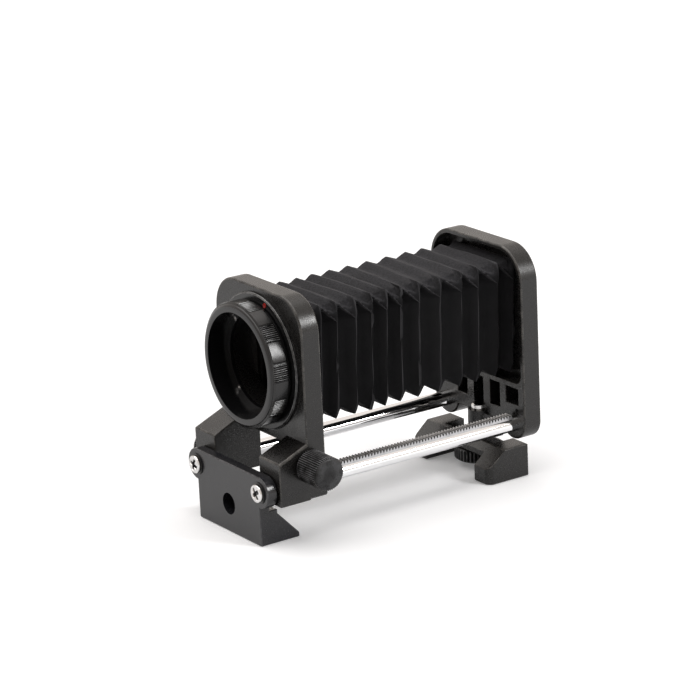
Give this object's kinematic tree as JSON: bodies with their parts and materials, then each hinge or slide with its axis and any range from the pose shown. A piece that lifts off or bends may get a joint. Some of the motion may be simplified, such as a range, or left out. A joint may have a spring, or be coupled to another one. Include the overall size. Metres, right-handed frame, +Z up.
{
  "type": "macro bellows unit",
  "caption": "Macro bellows unit: a lens standard driven by a rack and pinion slides on twin rods and folds a pleated bellows against a fixed camera standard.",
  "frame": {"origin": "middle of the front foot's rest face, on the table, on the unit's mid-plane", "axes": "+X along the rods from the lens end to the camera end, +Y away from the focus knob, +Z up"},
  "size_m": [0.1522, 0.0916, 0.1043],
  "materials": {
    "black_metal": "satin black anodised casting with softened edges",
    "ring_black": "semi-gloss black, ribbed for grip",
    "knob_metal": "satin black anodised aluminium, fluted rim",
    "black_steel": "blackened steel",
    "chrome": "polished chrome plate",
    "steel": "turned steel",
    "bronze": "oiled bronze",
    "bellows_cloth": "rubberised charcoal cloth in pressed pleats",
    "red_enamel": "red enamel dot"
  },
  "bodies": {
    "frame": {"front_bracket": "black_metal", "rod_near": "chrome", "rod_far": "chrome", "focus_rack": "chrome", "front_rod_screws": "chrome", "front_rod_washers": "black_steel", "rear_rod_screws": "black_steel", "bellows": "bellows_cloth", "bellows_rear_frame": "black_metal", "rear_frame_screws": "black_steel", "rear_standard": "black_metal", "rod_set_screws": "black_steel", "camera_mount": "chrome", "camera_mount_screws": "steel", "rear_foot": "black_metal", "clamp_washer": "black_steel"},
    "carriage": {"lens_standard": "black_metal", "rod_bushes": "bronze", "lens_flange": "black_metal", "lens_flange_screws": "chrome", "adapter_ring": "ring_black", "alignment_dot": "red_enamel", "pinion_bush": "bronze", "lock_shoe": "bronze", "bellows_front_frame": "black_metal", "front_frame_screws": "black_steel"},
    "focus_drive": {"pinion_shaft": "steel", "focus_knob": "knob_metal", "focus_knob_screw": "black_steel"},
    "carriage_lock": {"lock_knob": "knob_metal", "lock_screw": "steel"},
    "foot_clamp": {"clamp_knob": "knob_metal", "clamp_screw": "chrome"}
  },
  "joints": [
    {"name": "carriage_slide", "type": "slide", "parent": "frame", "child": "carriage", "axis": [1, 0, 0], "range_m": [0, 0.07], "deforming": ["bellows"]},
    {"name": "focus_turn", "type": "hinge", "parent": "carriage", "child": "focus_drive", "pos_m": [0.0104, -0.0333, 0.0338], "axis": [0, 1, 0], "range_deg": [0, 730]},
    {"name": "lock_turn", "type": "hinge", "parent": "carriage", "child": "carriage_lock", "pos_m": [0.00725, 0.0333, 0.024], "axis": [0, 1, 0], "range_deg": [0, 270]},
    {"name": "clamp_turn", "type": "hinge", "parent": "frame", "child": "foot_clamp", "pos_m": [0.123, 0, 0.0055], "axis": [0, 0, 1], "range_deg": [0, 720]}
  ],
  "couplings": [
    {"joint": "focus_turn", "follows": "carriage_slide", "rad_per_m": 181.82}
  ]
}
